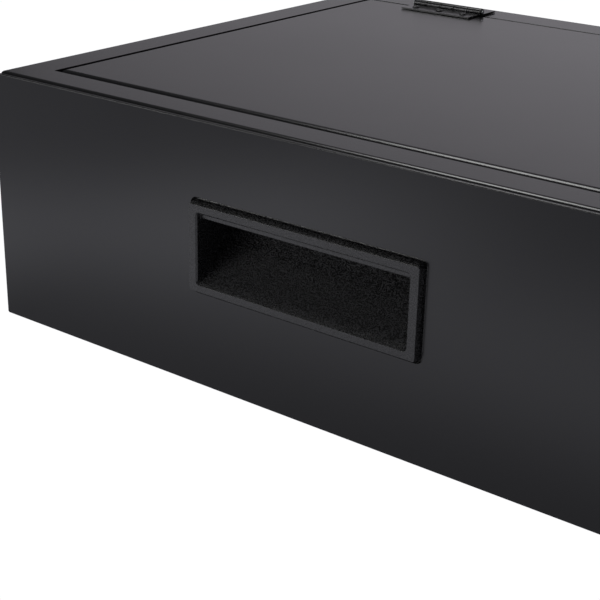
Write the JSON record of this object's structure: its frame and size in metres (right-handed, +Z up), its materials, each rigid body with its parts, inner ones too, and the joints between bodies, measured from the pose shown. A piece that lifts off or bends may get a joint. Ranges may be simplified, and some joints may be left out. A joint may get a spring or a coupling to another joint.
{
  "type": "parcel drop box",
  "caption": "Low sheet-steel parcel drop box with a hinged top lid, a full-width pull-out drawer with a recessed cup handle, two cam locks and rubber feet.",
  "frame": {"origin": "centre of the box's footprint, on the surface that the feet stand on", "axes": "+Z up, the drawer and its handle face -Y, +X to the right of someone facing the drawer"},
  "size_m": [0.48, 0.4046, 0.1739],
  "materials": {
    "black_coat": "satin black powder coat with fine orange peel",
    "tray_steel": "plain zinc-coated sheet steel, dull",
    "zinc_plate": "bright zinc plate",
    "grained_plastic": "fine grained black moulding",
    "rubber": "dull black rubber",
    "nickel_plate": "nickel plate"
  },
  "bodies": {
    "cabinet": {"side_panel_left": "black_coat", "side_panel_right": "black_coat", "rear_panel": "black_coat", "base_panel": "black_coat", "front_sill": "black_coat", "top_frame": "black_coat", "gasket_ledge": "black_coat", "lid_gasket": "rubber", "slide_bracket_left": "zinc_plate", "slide_bracket_right": "zinc_plate", "slide_outer_left": "zinc_plate", "slide_outer_right": "zinc_plate", "foot_front_left": "rubber", "foot_front_right": "rubber", "foot_rear_left": "rubber", "foot_rear_right": "rubber", "foot_screw_front_left": "zinc_plate", "foot_screw_front_right": "zinc_plate", "foot_screw_rear_left": "zinc_plate", "foot_screw_rear_right": "zinc_plate", "hinge_leaf_fixed_left": "black_coat", "hinge_leaf_fixed_right": "black_coat", "hinge_pin_left": "tray_steel", "hinge_pin_right": "tray_steel"},
    "slide_middle_left": {"slide_middle_left": "zinc_plate"},
    "slide_middle_right": {"slide_middle_right": "zinc_plate"},
    "drawer": {"drawer_front": "black_coat", "pull_cup": "grained_plastic", "pull_screw_left_lower": "zinc_plate", "pull_screw_left_upper": "zinc_plate", "pull_screw_right_lower": "zinc_plate", "pull_screw_right_upper": "zinc_plate", "tray_base": "tray_steel", "tray_side_left": "tray_steel", "tray_side_right": "tray_steel", "tray_front": "tray_steel", "tray_back": "tray_steel", "tray_mat": "rubber", "slide_inner_left": "zinc_plate", "slide_inner_right": "zinc_plate", "drawer_bumper_left": "rubber", "drawer_bumper_right": "rubber", "drawer_lock_housing": "nickel_plate", "drawer_lock_nut": "zinc_plate"},
    "drawer_lock": {"drawer_lock_plug": "nickel_plate", "drawer_lock_cam": "zinc_plate", "drawer_cam_screw": "zinc_plate"},
    "lid": {"lid_panel": "black_coat", "lid_stiffener": "zinc_plate", "hinge_leaf_moving_left": "black_coat", "hinge_leaf_moving_right": "black_coat", "lid_lock_housing": "nickel_plate", "lid_lock_nut": "zinc_plate"},
    "lid_lock": {"lid_lock_plug": "nickel_plate", "lid_lock_cam": "zinc_plate", "lid_cam_screw": "zinc_plate"}
  },
  "joints": [
    {"name": "drawer_slide", "type": "slide", "parent": "cabinet", "child": "drawer", "axis": [0, -1, 0], "range_m": [0, 0.33]},
    {"name": "left_slide_run", "type": "slide", "parent": "cabinet", "child": "slide_middle_left", "axis": [0, -1, 0], "range_m": [0, 0.165]},
    {"name": "right_slide_run", "type": "slide", "parent": "cabinet", "child": "slide_middle_right", "axis": [0, -1, 0], "range_m": [0, 0.165]},
    {"name": "lid_hinge", "type": "hinge", "parent": "cabinet", "child": "lid", "pos_m": [0, 0.1713, 0.1711], "axis": [-1, 0, 0], "range_deg": [0, 100]},
    {"name": "drawer_lock_turn", "type": "hinge", "parent": "drawer", "child": "drawer_lock", "pos_m": [0.185, -0.1977, 0.13], "axis": [0, 1, 0], "range_deg": [0, 90]},
    {"name": "lid_lock_turn", "type": "hinge", "parent": "lid", "child": "lid_lock", "pos_m": [0.185, -0.1377, 0.1686], "axis": [0, 0, -1], "range_deg": [0, 90]}
  ],
  "couplings": [
    {"joint": "left_slide_run", "follows": "drawer_slide", "ratio": 0.5},
    {"joint": "right_slide_run", "follows": "drawer_slide", "ratio": 0.5}
  ]
}
